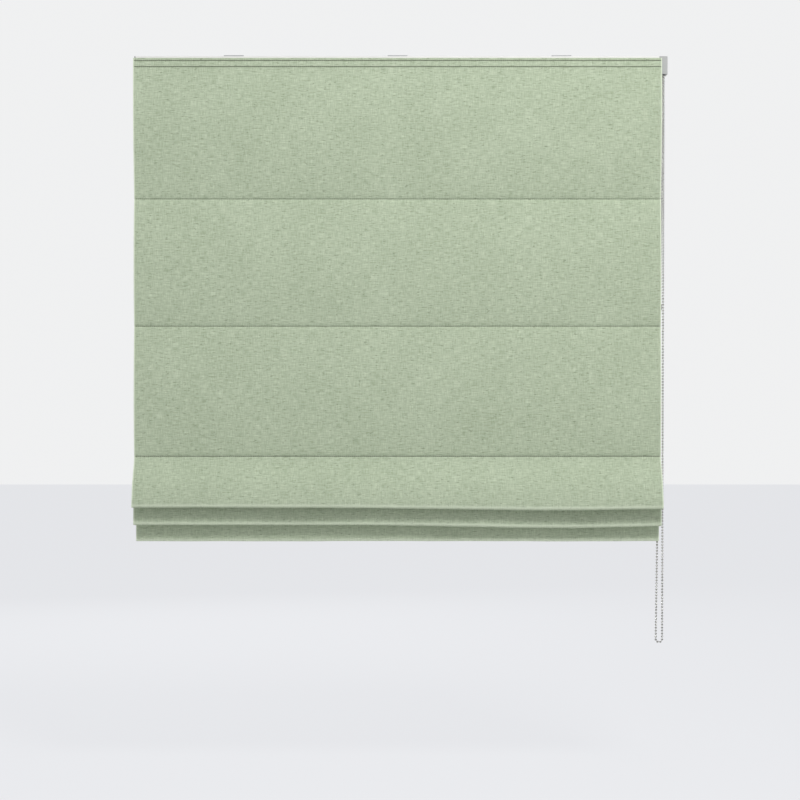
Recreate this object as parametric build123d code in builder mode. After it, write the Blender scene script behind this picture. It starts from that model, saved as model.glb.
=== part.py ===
"""Roman blind with soft folds, chain driven, partly raised.

X runs along the headrail, the room is at -Y and Z is up. The origin is on the ceiling plane, midway
between the two screws of the centre bracket. All sizes are in millimetres.
"""

import os
from math import tan, radians

from build123d import *

os.makedirs("parts", exist_ok=True)

# ---------------------------------------------------------------- driving dimensions
# headrail: a channel, open at the top, with lips that the brackets hook under
fabric_half_width = 532.0
rail_half_length = 527.0
rail_depth = 32.0
rail_height = 36.0
rail_wall = 1.2
rail_lip = 5.0
rail_drop = 2.0  # ceiling to the top of the rail

# brackets
bracket_places = {"left": -330.0, "centre": 0.0, "right": 330.0}
bracket_length = 40.0
bracket_plate = 1.5
screw_spacing = 24.0
screw_hole_radius = 2.25

# drive
shaft_flats = 6.0
shaft_below_ceiling = 20.0
cord_places = {"left": -400.0, "centre": 0.0, "right": 400.0}
cord_radius = 0.5
cord_line_depth = 10.5  # the cords hang this far behind the shaft
spool_length = 30.0
spool_flange_radius = 12.6
spool_flange = 1.5
spool_hub_radius = 5.5
cradle_wall = 2.0
cradle_floor = 1.2
wound_turns = 6
end_cap_plate = 3.0

# chain and its wheel
bead_diameter = 4.5
bead_pitch = 6.0
wheel_pockets = 10
wheel_flange = 1.6
wheel_flange_radius = 12.0
wheel_plane = 536.5  # X of the chain
housing_wall = 1.5
housing_end = 543.5
core_outer_radius = 5.4
spring_wire = 1.4
sleeve_wall = 1.2
plug_wall = 1.5
plug_length = 20.0

# fabric: a gap line runs between the face and the lining, and each layer lies beside it
face_thickness = 0.8
lining_thickness = 0.5
layer_gap = 0.3
lining_inset = 12.0
fabric_top = -6.0
tape_height = 20.0
tape_thickness = 1.0
hem_inset = 3.0

# rods
rod_levels = [-288.0, -545.0, -808.0, -828.0, -848.0]
rod_radius = 2.0
rod_half_length = 518.0
rod_line_depth = 4.4
rod_cap_wall = 0.5
rod_cap_length = 12.0
rod_cap_end = 3.0
pocket_cloth = 0.5
pocket_play = 0.2
ring_radius = 5.5
ring_wire_radius = 0.7
stop_radius = 2.5
stop_height = 9.0

# folds and hem
fold_levels = [-912.8, -950.0]  # undersides of the two hanging folds
fold_fronts = [-39.5, -14.5]
fold_depths = [10.0, 9.5]
fold_radius = 4.4
crest_radius = 1.6
crest_front = -3.2
crest_back = 0.1
crest_below_rod = 1.0
hem_bottom = -980.0
bar_width = 4.0
bar_height = 25.0
bar_half_length = 524.0
bar_cap_length = 10.0
bar_cap_wall = 0.5

# clearances
running = 0.3  # between bodies that move past each other
slide_fit = 0.1  # between a piece and what it slips into
seam_gap = 0.6  # between two panels that meet at a slant

# ---------------------------------------------------------------- sizes that follow
rail_top = -rail_drop
rail_bottom = rail_top - rail_height
rail_inner_half = rail_depth / 2 - rail_wall
shaft_z = -shaft_below_ceiling
shaft_corner = shaft_flats / 2 / 0.8660254
wheel_radius = bead_pitch * wheel_pockets / 6.2831853
bead_radius = bead_diameter / 2
drum_radius = cord_line_depth - cord_radius - running
core_inner_radius = shaft_corner + running
spring_inner_radius = core_outer_radius + running
spring_outer_radius = spring_inner_radius + spring_wire
sleeve_inner_radius = spring_outer_radius + running
sleeve_outer_radius = sleeve_inner_radius + sleeve_wall
plug_inner_radius = sleeve_outer_radius + running
plug_outer_radius = plug_inner_radius + plug_wall
gap_line_header = -(rail_depth / 2 + 2 * tape_thickness + lining_thickness + layer_gap / 2)
gap_line = 0.15
cap_radius = rod_radius + slide_fit + rod_cap_wall
pocket_inner_radius = cap_radius + pocket_play
pocket_outer_radius = pocket_inner_radius + pocket_cloth
half_fabric = fabric_half_width
half_lining = fabric_half_width - lining_inset
layers = {
    "face": (-layer_gap / 2 - face_thickness, -layer_gap / 2, half_fabric),
    "lining": (layer_gap / 2, layer_gap / 2 + lining_thickness, half_lining),
}


def finish_part(part, name):
    """Name a finished piece and write it."""
    part.label = name
    export_step(part, f"parts/{name}.step")


def shifted(route, distance):
    """The route moved to its left by a distance, with mitred corners."""
    points = [Vector(*place) for place in route]
    ways = [(b - a).normalized() for a, b in zip(points, points[1:])]
    lefts = [Vector(-way.Y, way.X) for way in ways]
    moved = [points[0] + lefts[0] * distance]
    for point, before, after in zip(points[1:-1], lefts, lefts[1:]):
        moved.append(point + (before + after) * (distance / (1 + before.dot(after))))
    moved.append(points[-1] + lefts[-1] * distance)
    return moved


def bend_radii(route, radii, distance):
    """The corner radii of a shifted route: less where it bends left, more where it bends right."""
    points = [Vector(*place) for place in route]
    found = []
    for a, b, c, radius in zip(points, points[1:], points[2:], radii):
        left = (b - a).cross(c - b).Z > 0
        found.append(radius - distance if left else radius + distance)
    return found


def cloth_layer(route, radii, layer):
    """Section of one fabric layer along a (Y, Z) route, as a sketch in the YZ plane."""
    near, far, _ = layers[layer]
    with BuildSketch(Plane.YZ) as section:
        with BuildLine():
            sides = []
            for distance in (near, far):
                corners = shifted(route, distance)
                if radii:
                    bends = bend_radii(route, radii, distance)
                    sides.append(FilletPolyline(*corners, radius=bends))
                else:
                    sides.append(Line(*corners))
            Line(sides[0] @ 0, sides[1] @ 0)
            Line(sides[0] @ 1, sides[1] @ 1)
        make_face()
    return section.sketch


# ---------------------------------------------------------------- headrail
# One extrusion: floor, two walls and two lips. Slots in the floor let the cords out.
with BuildPart() as headrail:
    with BuildSketch(Plane.YZ):
        with Locations((0, rail_top - rail_height / 2)):
            Rectangle(rail_depth, rail_height)
            Rectangle(rail_depth - 2 * rail_wall, rail_height - 2 * rail_wall, mode=Mode.SUBTRACT)
        with Locations((0, rail_top)):
            Rectangle(rail_depth - 2 * rail_lip, 3 * rail_wall, mode=Mode.SUBTRACT)
    extrude(amount=rail_half_length, both=True)
    with BuildSketch(Plane.XY.offset(rail_bottom)):
        with Locations(*[(x, cord_line_depth) for x in cord_places.values()]):
            SlotOverall(16, 5)
    extrude(amount=rail_wall, mode=Mode.SUBTRACT)
finish_part(headrail.part, "headrail")

# ---------------------------------------------------------------- brackets
# A plate against the ceiling, a neck between the rail's lips and a foot that the lips rest on.
lip_underside = rail_top - rail_wall
foot_height = 1.8
for side, x in bracket_places.items():
    with BuildPart() as bracket:
        with BuildSketch():
            with Locations((x, 0)):
                RectangleRounded(bracket_length, rail_depth - 4, 2)
        extrude(amount=-bracket_plate)
        with BuildSketch(Plane.XY.offset(-bracket_plate)):
            with Locations((x, 0)):
                Rectangle(bracket_length - 4, rail_depth - 2 * rail_lip - 1)
        extrude(amount=lip_underside + bracket_plate)
        with BuildSketch(Plane.XY.offset(lip_underside)):
            with Locations((x, 0)):
                Rectangle(bracket_length - 4, 2 * rail_inner_half - 2 * slide_fit)
        extrude(amount=-foot_height)
        with Locations((x, 0, 0)):
            with GridLocations(screw_spacing, 1, 2, 1):
                Hole(screw_hole_radius)
    finish_part(bracket.part, f"bracket_{side}")

# ---------------------------------------------------------------- hook-and-loop tape
# The hook half is stuck to the rail's front wall, and the loop half is sewn to the header.
tape_top = fabric_top - 1
for name, back in (("hook_tape", -rail_depth / 2), ("loop_tape", -rail_depth / 2 - tape_thickness)):
    with BuildPart() as tape:
        with BuildSketch(Plane.YZ):
            with Locations((back - tape_thickness / 2, tape_top - tape_height / 2)):
                Rectangle(tape_thickness, tape_height)
        extrude(amount=rail_half_length - 1, both=True)
    finish_part(tape.part, name)

# ---------------------------------------------------------------- left end cap
# A plate over the rail's end, a tongue that fits inside and a bearing for the shaft.
bearing_radius = shaft_corner + running
with BuildPart() as end_cap_left:
    with BuildSketch(Plane.YZ.offset(-rail_half_length)):
        with Locations((0, rail_top - rail_height / 2)):
            Rectangle(rail_depth, rail_height)
    extrude(amount=-end_cap_plate)
    with BuildSketch(Plane.YZ.offset(-rail_half_length)):
        with Locations((0, shaft_z - 2)):
            Rectangle(2 * rail_inner_half - 2 * slide_fit, 22)
            Rectangle(2 * rail_inner_half - 5, 18, mode=Mode.SUBTRACT)
        with Locations((0, shaft_z)):
            Circle(bearing_radius + 1.6)
            Circle(bearing_radius, mode=Mode.SUBTRACT)
    extrude(amount=9)
    outer_corners = end_cap_left.edges().filter_by(Axis.X).group_by(Axis.X)[0]
    fillet(outer_corners, 0.8)
finish_part(end_cap_left.part, "end_cap_left")

# ---------------------------------------------------------------- drive shaft
shaft_start = -rail_half_length + slide_fit
shaft_stop = housing_end - housing_wall - 1
with BuildPart() as drive_shaft:
    with BuildSketch(Plane.YZ.offset(shaft_start)):
        with Locations((0, shaft_z)):
            RegularPolygon(shaft_flats / 2, 6, major_radius=False)
    extrude(amount=shaft_stop - shaft_start)
finish_part(drive_shaft.part, "drive_shaft")

# ---------------------------------------------------------------- spools, cradles and wound cord
hub_reach = cradle_wall + 2 * running + 1
half_spool = spool_length / 2
cradle_inside = half_spool + running
coil_layer = 2 * cord_radius
for side, x in cord_places.items():
    with BuildPart() as spool:
        with BuildSketch(Plane.XZ):
            with BuildLine():
                Polyline(
                    (x - half_spool - hub_reach, shaft_z),
                    (x - half_spool - hub_reach, shaft_z + spool_hub_radius),
                    (x - half_spool, shaft_z + spool_hub_radius),
                    (x - half_spool, shaft_z + spool_flange_radius),
                    (x - half_spool + spool_flange, shaft_z + spool_flange_radius),
                    (x - half_spool + spool_flange, shaft_z + drum_radius),
                    (x + half_spool - spool_flange, shaft_z + drum_radius),
                    (x + half_spool - spool_flange, shaft_z + spool_flange_radius),
                    (x + half_spool, shaft_z + spool_flange_radius),
                    (x + half_spool, shaft_z + spool_hub_radius),
                    (x + half_spool + hub_reach, shaft_z + spool_hub_radius),
                    (x + half_spool + hub_reach, shaft_z),
                    close=True,
                )
            make_face()
        revolve(axis=Axis((0, 0, shaft_z), (1, 0, 0)))
        with BuildSketch(Plane.YZ.offset(x)):
            with Locations((0, shaft_z)):
                RegularPolygon(shaft_flats / 2 + slide_fit, 6, major_radius=False)
        extrude(amount=half_spool + hub_reach, both=True, mode=Mode.SUBTRACT)
    finish_part(spool.part, f"cord_spool_{side}")

    with BuildPart() as cradle:
        floor_z = rail_bottom + rail_wall
        with BuildSketch(Plane.XY.offset(floor_z)):
            with Locations((x, 0)):
                Rectangle(2 * (cradle_inside + cradle_wall), 2 * rail_inner_half - 2 * slide_fit)
            with Locations((x, cord_line_depth)):
                SlotOverall(16, 5, mode=Mode.SUBTRACT)
        extrude(amount=cradle_floor)
        for way in (-1, 1):
            with BuildSketch(Plane.YZ.offset(x + way * (cradle_inside + cradle_wall / 2))):
                with BuildLine():
                    Polyline(
                        (-12, floor_z),
                        (12, floor_z),
                        (8.5, shaft_z + 6),
                        (-8.5, shaft_z + 6),
                        close=True,
                    )
                make_face()
                with Locations((0, shaft_z)):
                    Circle(spool_hub_radius + running, mode=Mode.SUBTRACT)
            extrude(amount=cradle_wall / 2, both=True)
    finish_part(cradle.part, f"spool_cradle_{side}")

# The turns already wound lie side by side, away from where the cord leaves the drum.
with BuildPart() as wound_cords:
    for x in cord_places.values():
        with BuildSketch(Plane.XZ):
            with Locations(*[(x + 3 + turn * coil_layer, shaft_z + drum_radius + cord_radius)
                             for turn in range(wound_turns)]):
                Rectangle(coil_layer, coil_layer)
        revolve(axis=Axis((0, 0, shaft_z), (1, 0, 0)))
finish_part(wound_cords.part, "wound_cords")

# ---------------------------------------------------------------- chain drive
# The housing closes the rail's right end. Its plug reaches into the rail and carries a fixed core.
housing_start = rail_half_length
plug_end = housing_start - plug_length
channel = bead_diameter + 2 * running + 0.1
slot_length = bead_diameter + 3
with BuildPart() as control_housing:
    with BuildSketch(Plane.YZ.offset(housing_start)):
        with Locations((0, rail_top - rail_height / 2)):
            Rectangle(rail_depth, rail_height)
    extrude(amount=housing_end - housing_wall - housing_start)
    with BuildSketch(Plane.YZ.offset(housing_start + housing_wall)):
        with Locations((0, rail_top - rail_height / 2)):
            Rectangle(rail_depth - 2 * housing_wall, rail_height - 2 * housing_wall)
    extrude(amount=housing_end - housing_start, mode=Mode.SUBTRACT)
    with BuildSketch(Plane.YZ.offset(plug_end)):
        with Locations((0, shaft_z)):
            Rectangle(2 * rail_inner_half - 2 * slide_fit, 3)
            Circle(plug_outer_radius)
    extrude(amount=plug_length)
    with BuildSketch(Plane.YZ.offset(plug_end + plug_wall)):
        with Locations((0, shaft_z)):
            Circle(plug_inner_radius)
    extrude(amount=plug_length + housing_wall - plug_wall, mode=Mode.SUBTRACT)
    with BuildSketch(Plane.YZ.offset(plug_end)):
        with Locations((0, shaft_z)):
            Circle(core_outer_radius)
    extrude(amount=plug_length - 2)
    with BuildSketch(Plane.YZ.offset(plug_end)):
        with Locations((0, shaft_z)):
            Circle(core_inner_radius)
    extrude(amount=plug_length, mode=Mode.SUBTRACT)
    with BuildSketch(Plane.XY.offset(rail_bottom)):
        with Locations((wheel_plane, wheel_radius), (wheel_plane, -wheel_radius)):
            Rectangle(channel + 1, slot_length)
    extrude(amount=housing_wall, mode=Mode.SUBTRACT)
finish_part(control_housing.part, "control_housing")

with BuildPart() as control_cover:
    with BuildSketch(Plane.YZ.offset(housing_end - housing_wall)):
        with Locations((0, rail_top - rail_height / 2)):
            Rectangle(rail_depth, rail_height)
    extrude(amount=housing_wall)
    rim = control_cover.faces().sort_by(Axis.X)[-1].edges()
    fillet(rim, 0.6)
finish_part(control_cover.part, "control_cover")

# The wheel's two flanges grip the beads in shallow pockets, and its sleeve turns round the spring.
half_wheel = channel / 2 + wheel_flange
groove_radius = wheel_radius - bead_radius - running
sleeve_reach = wheel_plane - half_wheel - (plug_end + plug_wall + 3)
with BuildPart() as chain_wheel:
    with BuildSketch(Plane.YZ.offset(wheel_plane - half_wheel)):
        with Locations((0, shaft_z)):
            Circle(wheel_flange_radius)
    extrude(amount=2 * half_wheel)
    with BuildSketch(Plane.YZ.offset(wheel_plane)):
        with Locations((0, shaft_z)):
            Circle(wheel_flange_radius)
            Circle(groove_radius, mode=Mode.SUBTRACT)
    extrude(amount=channel / 2, both=True, mode=Mode.SUBTRACT)
    with BuildSketch(Plane.YZ.offset(wheel_plane - half_wheel)):
        with Locations((0, shaft_z)):
            Circle(sleeve_outer_radius)
            Circle(sleeve_inner_radius, mode=Mode.SUBTRACT)
    extrude(amount=-sleeve_reach)
    with BuildSketch(Plane.YZ.offset(wheel_plane)):
        with Locations((0, shaft_z)):
            RegularPolygon(shaft_flats / 2 + slide_fit, 6, major_radius=False)
    extrude(amount=half_wheel, both=True, mode=Mode.SUBTRACT)
    wheel_face = Plane((wheel_plane, 0, shaft_z), x_dir=(0, 1, 0), z_dir=(1, 0, 0))
    with Locations(wheel_face):
        with PolarLocations(wheel_radius, wheel_pockets):
            Sphere(channel / 2 + running, mode=Mode.SUBTRACT)
finish_part(chain_wheel.part, "chain_wheel")

# The spring's coils lie against each other, so it is one sleeve with a rounded outline.
spring_coils = 8
spring_start = plug_end + plug_wall + 4
with BuildPart() as clutch_spring:
    with BuildSketch(Plane.XZ):
        spring_line = shaft_z + spring_inner_radius + spring_wire / 2
        with Locations(*[(spring_start + (coil + 0.5) * spring_wire * 0.92, spring_line)
                         for coil in range(spring_coils)]):
            Circle(spring_wire / 2)
    revolve(axis=Axis((0, 0, shaft_z), (1, 0, 0)))
finish_part(clutch_spring.part, "clutch_spring")

# ---------------------------------------------------------------- pull chain
# An endless loop over the wheel. Its connector sits in the rear run, behind the fabric.
loop_bottom = -1184.7
connector_top = -500.0
connector_length = 11.0
connector_radius = 3.0
rear_bend = Vector(536.0, 17.6, -300.0)
rear_foot = Vector(523.6, 18.6, loop_bottom)
front_foot = Vector(536.3, 16.4, loop_bottom)
rear_way = (rear_foot - rear_bend).normalized()
connector_start = rear_bend + rear_way * ((rear_bend.Z - connector_top) / -rear_way.Z)
connector_stop = connector_start + rear_way * connector_length
wheel_top = shaft_z + wheel_radius
chain_points = [
    connector_stop,
    rear_foot,
    front_foot,
    Vector(wheel_plane, -wheel_radius, rail_bottom - 30),
    Vector(wheel_plane, -wheel_radius, wheel_top),
    Vector(wheel_plane, wheel_radius, wheel_top),
    Vector(wheel_plane, wheel_radius, rail_bottom - 12),
    rear_bend,
    connector_start,
]
foot_radius = 6.3
chain_radii = []
for before, point, after in zip(chain_points, chain_points[1:], chain_points[2:]):
    turn = (point - before).get_angle(after - point)
    shorter = min((point - before).length, (after - point).length)
    chain_radii.append(0.45 * shorter / tan(radians(turn) / 2))
chain_radii[0] = chain_radii[1] = foot_radius
chain_radii[3] = chain_radii[4] = wheel_radius - 0.05
print("chain bend radii", [round(radius, 1) for radius in chain_radii])
with BuildPart() as pull_chain:
    with BuildLine() as chain_line:
        FilletPolyline(*chain_points, radius=chain_radii)
    with BuildSketch(Plane(chain_points[0], z_dir=rear_way)):
        Circle(bead_radius)
    sweep()
chain_length = sum(edge.length for edge in chain_line.edges())
print("chain length", round(chain_length, 1), "volume per section",
      round(pull_chain.part.volume / (3.14159265 * bead_radius**2), 1))
finish_part(pull_chain.part, "pull_chain")

with BuildPart() as chain_connector:
    with BuildSketch(Plane(connector_start, z_dir=rear_way)):
        Circle(connector_radius)
    extrude(amount=connector_length)
finish_part(chain_connector.part, "chain_connector")

# ---------------------------------------------------------------- fabric
# Each panel runs from one seam to the next. The first three hang flat. The fourth and fifth hang
# as folds: down at the front, round the fold, and up behind it to a crest under their rod.
bar_front = 7.6 - layer_gap / 2 + 0.55
pocket_back = bar_front + bar_width + 0.55 - layer_gap / 2
fold_inside = layer_gap / 2 + face_thickness


def crest(level):
    """The two corners of the crest that a rod at this level lies on, front corner first."""
    top = rod_levels[level] - crest_below_rod
    return [(crest_front, top), (crest_back, top)]


def crest_middle(level):
    """The seam at the top of a crest."""
    return ((crest_front + crest_back) / 2, rod_levels[level] - crest_below_rod)


def fold(number):
    """The two lower corners of a hanging fold."""
    low = fold_levels[number] + fold_inside
    return [(fold_fronts[number], low), (fold_fronts[number] + fold_depths[number], low)]


header_foot = fabric_top - 24
second_lead = (-5.2, rod_levels[4] + 0.5)
hem_turn = hem_bottom + fold_inside
hem_side = hem_turn + 33
panel_routes = {
    "1": ([(gap_line_header, fabric_top), (gap_line_header, header_foot),
           (gap_line, rod_levels[0] + seam_gap)],
          [60.0]),
    "2": ([(gap_line, rod_levels[0]), (gap_line, rod_levels[1])], []),
    "3": ([(gap_line, rod_levels[1]), (gap_line, rod_levels[2])], []),
    "4": ([(gap_line, rod_levels[2] - seam_gap), *fold(0), crest(3)[0], crest_middle(3)],
          [fold_radius, fold_radius, crest_radius]),
    "5": ([crest_middle(3), crest(3)[1], second_lead, *fold(1), crest(4)[0], crest_middle(4)],
          [1.0, 20.0, fold_radius, fold_radius, crest_radius]),
}
hem_route = [crest_middle(4), crest(4)[1], (7.6, hem_side)]
for name, (route, radii) in panel_routes.items():
    for layer, (_, _, half_width) in layers.items():
        with BuildPart() as panel:
            extrude(cloth_layer(route, radii, layer), amount=half_width, both=True)
        finish_part(panel.part, f"{layer}_panel_{name}")

# The face fabric is turned up behind the hem to make the pocket of the weight bar.
face_hem_route = hem_route + [(7.6, hem_turn), (pocket_back, hem_turn), (pocket_back, hem_side - 3)]
with BuildPart() as face_hem:
    section = cloth_layer(face_hem_route, [1.0, 40.0, 2.0, 2.0], "face")
    extrude(section, amount=fabric_half_width - hem_inset, both=True)
finish_part(face_hem.part, "face_hem")
with BuildPart() as lining_hem:
    extrude(cloth_layer(hem_route, [1.0], "lining"), amount=half_lining - hem_inset, both=True)
finish_part(lining_hem.part, "lining_hem")

# ---------------------------------------------------------------- weight bar
bar_middle = bar_front + bar_width / 2
bar_bottom = hem_turn + 1.5
with BuildPart() as bottom_bar:
    with BuildSketch(Plane.YZ):
        with Locations((bar_middle, bar_bottom + bar_height / 2)):
            Rectangle(bar_width - 2 * bar_cap_wall, bar_height - 2 * bar_cap_wall)
    extrude(amount=bar_half_length - bar_cap_wall, both=True)
finish_part(bottom_bar.part, "bottom_bar")
with BuildPart() as bottom_bar_caps:
    with BuildSketch(Plane.YZ):
        with Locations((bar_middle, bar_bottom + bar_height / 2)):
            Rectangle(bar_width, bar_height)
    extrude(amount=bar_half_length, both=True)
    with BuildSketch(Plane.YZ):
        with Locations((bar_middle, bar_bottom + bar_height / 2)):
            Rectangle(bar_width, bar_height)
    extrude(amount=bar_half_length - bar_cap_length, both=True, mode=Mode.SUBTRACT)
    with BuildSketch(Plane.YZ):
        with Locations((bar_middle, bar_bottom + bar_height / 2)):
            Rectangle(bar_width - 2 * bar_cap_wall, bar_height - 2 * bar_cap_wall)
    extrude(amount=bar_half_length - bar_cap_wall, both=True, mode=Mode.SUBTRACT)
finish_part(bottom_bar_caps.part, "bottom_bar_caps")

# ---------------------------------------------------------------- rods, caps, pockets and rings
ring_depth = rod_line_depth + pocket_outer_radius + pocket_play + ring_radius
for number, level in enumerate(rod_levels, start=1):
    with BuildPart() as rod:
        with BuildSketch(Plane.YZ):
            with Locations((rod_line_depth, level)):
                Circle(rod_radius)
        extrude(amount=rod_half_length, both=True)
    finish_part(rod.part, f"rod_{number}")

    with BuildPart() as rod_caps:
        for way in (-1, 1):
            with BuildSketch(Plane.YZ.offset(way * (rod_half_length + rod_cap_end))):
                with Locations((rod_line_depth, level)):
                    Circle(cap_radius)
            extrude(amount=-way * rod_cap_length)
            with BuildSketch(Plane.YZ.offset(way * rod_half_length)):
                with Locations((rod_line_depth, level)):
                    Circle(rod_radius)
            extrude(amount=-way * rod_cap_length, mode=Mode.SUBTRACT)
    finish_part(rod_caps.part, f"rod_caps_{number}")

    with BuildPart() as rod_pocket:
        with BuildSketch(Plane.YZ):
            with Locations((rod_line_depth, level)):
                Circle(pocket_outer_radius)
                Circle(pocket_inner_radius, mode=Mode.SUBTRACT)
        extrude(amount=half_lining + 3, both=True)
    finish_part(rod_pocket.part, f"rod_pocket_{number}")

    with BuildPart() as cord_rings:
        with Locations(*[(x, ring_depth, level) for x in cord_places.values()]):
            Torus(ring_radius - ring_wire_radius, ring_wire_radius)
    finish_part(cord_rings.part, f"cord_rings_{number}")

# ---------------------------------------------------------------- lift cords and their stops
# Each cord hangs straight from the back of its spool, through five rings, into its stop.
stop_top = rod_levels[-1] - ring_wire_radius
for side, x in cord_places.items():
    with BuildPart() as lift_cord:
        with BuildSketch(Plane.XY.offset(shaft_z)):
            with Locations((x, cord_line_depth)):
                Circle(cord_radius)
        extrude(amount=stop_top - stop_height / 2 - shaft_z)
    finish_part(lift_cord.part, f"lift_cord_{side}")

with BuildPart() as cord_stops:
    for x in cord_places.values():
        with BuildSketch(Plane.XY.offset(stop_top)):
            with Locations((x, cord_line_depth)):
                Circle(stop_radius)
                Circle(cord_radius + slide_fit, mode=Mode.SUBTRACT)
        extrude(amount=-stop_height)
finish_part(cord_stops.part, "cord_stops")
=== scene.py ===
from math import cos, exp, pi, sin

import bpy
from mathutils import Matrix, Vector


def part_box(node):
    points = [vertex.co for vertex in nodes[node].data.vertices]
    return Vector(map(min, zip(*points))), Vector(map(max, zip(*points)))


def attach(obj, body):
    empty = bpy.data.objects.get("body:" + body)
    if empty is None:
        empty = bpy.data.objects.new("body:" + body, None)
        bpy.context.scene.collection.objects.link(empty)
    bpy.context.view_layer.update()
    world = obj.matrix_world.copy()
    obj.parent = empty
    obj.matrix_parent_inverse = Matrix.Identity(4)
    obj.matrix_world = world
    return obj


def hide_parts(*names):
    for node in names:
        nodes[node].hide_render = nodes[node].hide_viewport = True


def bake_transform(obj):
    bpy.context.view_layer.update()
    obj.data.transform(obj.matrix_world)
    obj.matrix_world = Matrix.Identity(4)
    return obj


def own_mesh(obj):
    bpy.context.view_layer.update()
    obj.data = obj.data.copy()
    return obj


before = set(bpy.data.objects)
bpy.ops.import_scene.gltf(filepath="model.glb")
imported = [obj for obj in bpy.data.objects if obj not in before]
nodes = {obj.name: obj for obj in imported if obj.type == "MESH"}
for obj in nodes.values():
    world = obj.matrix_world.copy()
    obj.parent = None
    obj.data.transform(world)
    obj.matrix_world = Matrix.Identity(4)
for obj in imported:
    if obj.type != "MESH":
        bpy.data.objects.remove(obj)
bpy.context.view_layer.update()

# ------------------------------------------------------------------ camera, light and floor
# The blind is seen straight on, from a little over four metres, level with its middle.
# Soft daylight fills the room from the front, and a pale floor throws some back up.
scene = bpy.context.scene
scene.view_settings.view_transform = "Standard"
eye_distance, seen_width, sensor_width = 4.3, 1.616, 36.0
eye = Vector((0.005, -eye_distance, -0.694))
camera_data = bpy.data.cameras.new("camera")
camera_data.sensor_width = sensor_width
camera_data.lens = sensor_width * eye_distance / seen_width
camera = bpy.data.objects.new("camera", camera_data)
camera.location = eye
camera.rotation_euler = (pi / 2, 0, 0)
scene.collection.objects.link(camera)
scene.camera = camera


def area_light(name, place, aim, size, power, colour):
    """A square soft box at a place, turned to face a point."""
    data = bpy.data.lights.new(name, "AREA")
    data.size, data.energy, data.color = size, power, colour
    lamp = bpy.data.objects.new(name, data)
    lamp.location = place
    lamp.rotation_euler = (Vector(aim) - Vector(place)).to_track_quat("-Z", "Y").to_euler()
    scene.collection.objects.link(lamp)


blind_middle = (0, 0, -0.6)
area_light("window_light", (0.9, -2.3, 2.0), blind_middle, 0.9, 86, (1.0, 0.99, 0.97))
area_light("room_light", (-2.6, -3.0, 0.2), blind_middle, 2.6, 8, (0.97, 0.99, 1.0))
area_light("back_light", (-0.8, 3.4, 0.6), blind_middle, 2.4, 40, (1.0, 1.0, 1.0))

# The room lights the blind with one tone and shows the camera a paler one.
world = bpy.data.worlds.new("studio")
scene.world = world
world.use_nodes = True
sky = world.node_tree.nodes["Background"]
sky.inputs["Color"].default_value = (0.86, 0.865, 0.87, 1)
sky.inputs["Strength"].default_value = 0.52
seen = world.node_tree.nodes.new("ShaderNodeBackground")
seen.inputs["Color"].default_value = (0.87, 0.875, 0.88, 1)
seen.inputs["Strength"].default_value = 1.0
rays = world.node_tree.nodes.new("ShaderNodeLightPath")
either = world.node_tree.nodes.new("ShaderNodeMixShader")
world.node_tree.links.new(rays.outputs["Is Camera Ray"], either.inputs["Fac"])
world.node_tree.links.new(sky.outputs["Background"], either.inputs[1])
world.node_tree.links.new(seen.outputs["Background"], either.inputs[2])
world.node_tree.links.new(either.outputs[0], world.node_tree.nodes["World Output"].inputs["Surface"])

# To the camera the floor is mostly a flat pale tone, so that it meets the wall softly.
floor_size, floor_height = 30, -1.46
bpy.ops.mesh.primitive_plane_add(size=floor_size, location=(0, 0, floor_height))
floor = bpy.context.object
floor.name = "floor"
floor_paint = bpy.data.materials.new("floor_paint")
floor_paint.use_nodes = True
floor_tree = floor_paint.node_tree
floor_shader = floor_tree.nodes["Principled BSDF"]
floor_shader.inputs["Base Color"].default_value = (0.80, 0.80, 0.80, 1)
floor_shader.inputs["Roughness"].default_value = 0.9
floor_glow = floor_tree.nodes.new("ShaderNodeEmission")
floor_glow.inputs["Color"].default_value = (0.83, 0.84, 0.87, 1)
floor_rays = floor_tree.nodes.new("ShaderNodeLightPath")
floor_share = floor_tree.nodes.new("ShaderNodeMath")
floor_share.operation = "MULTIPLY"
floor_share.inputs[1].default_value = 0.88
floor_mix = floor_tree.nodes.new("ShaderNodeMixShader")
floor_tree.links.new(floor_rays.outputs["Is Camera Ray"], floor_share.inputs[0])
floor_tree.links.new(floor_share.outputs[0], floor_mix.inputs["Fac"])
floor_tree.links.new(floor_shader.outputs["BSDF"], floor_mix.inputs[1])
floor_tree.links.new(floor_glow.outputs["Emission"], floor_mix.inputs[2])
floor_tree.links.new(floor_mix.outputs[0], floor_tree.nodes["Material Output"].inputs["Surface"])
floor.data.materials.append(floor_paint)
bpy.ops.object.select_all(action="DESELECT")

# ------------------------------------------------------------------ headrail and brackets
# The rail is extruded aluminium with a white powder coat, cut to length and capped at both ends.
# Three pressed steel brackets are screwed up into the recess and hold it by its lips.


def new_finish(name, roughness, metallic=0.0):
    """A material with its own shader, and that shader."""
    finish = bpy.data.materials.new(name)
    finish.use_nodes = True
    shader = finish.node_tree.nodes["Principled BSDF"]
    shader.inputs["Roughness"].default_value = roughness
    shader.inputs["Metallic"].default_value = metallic
    return finish, shader


def math_step(tree, operation, first, second=None, third=None):
    """One Math node. Each input is a number or an output."""
    made = tree.nodes.new("ShaderNodeMath")
    made.operation = operation
    for socket, value in zip(made.inputs, (first, second, third)):
        if value is None:
            continue
        if hasattr(value, "is_linked"):
            tree.links.new(value, socket)
        else:
            socket.default_value = value
    return made.outputs[0]


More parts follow.
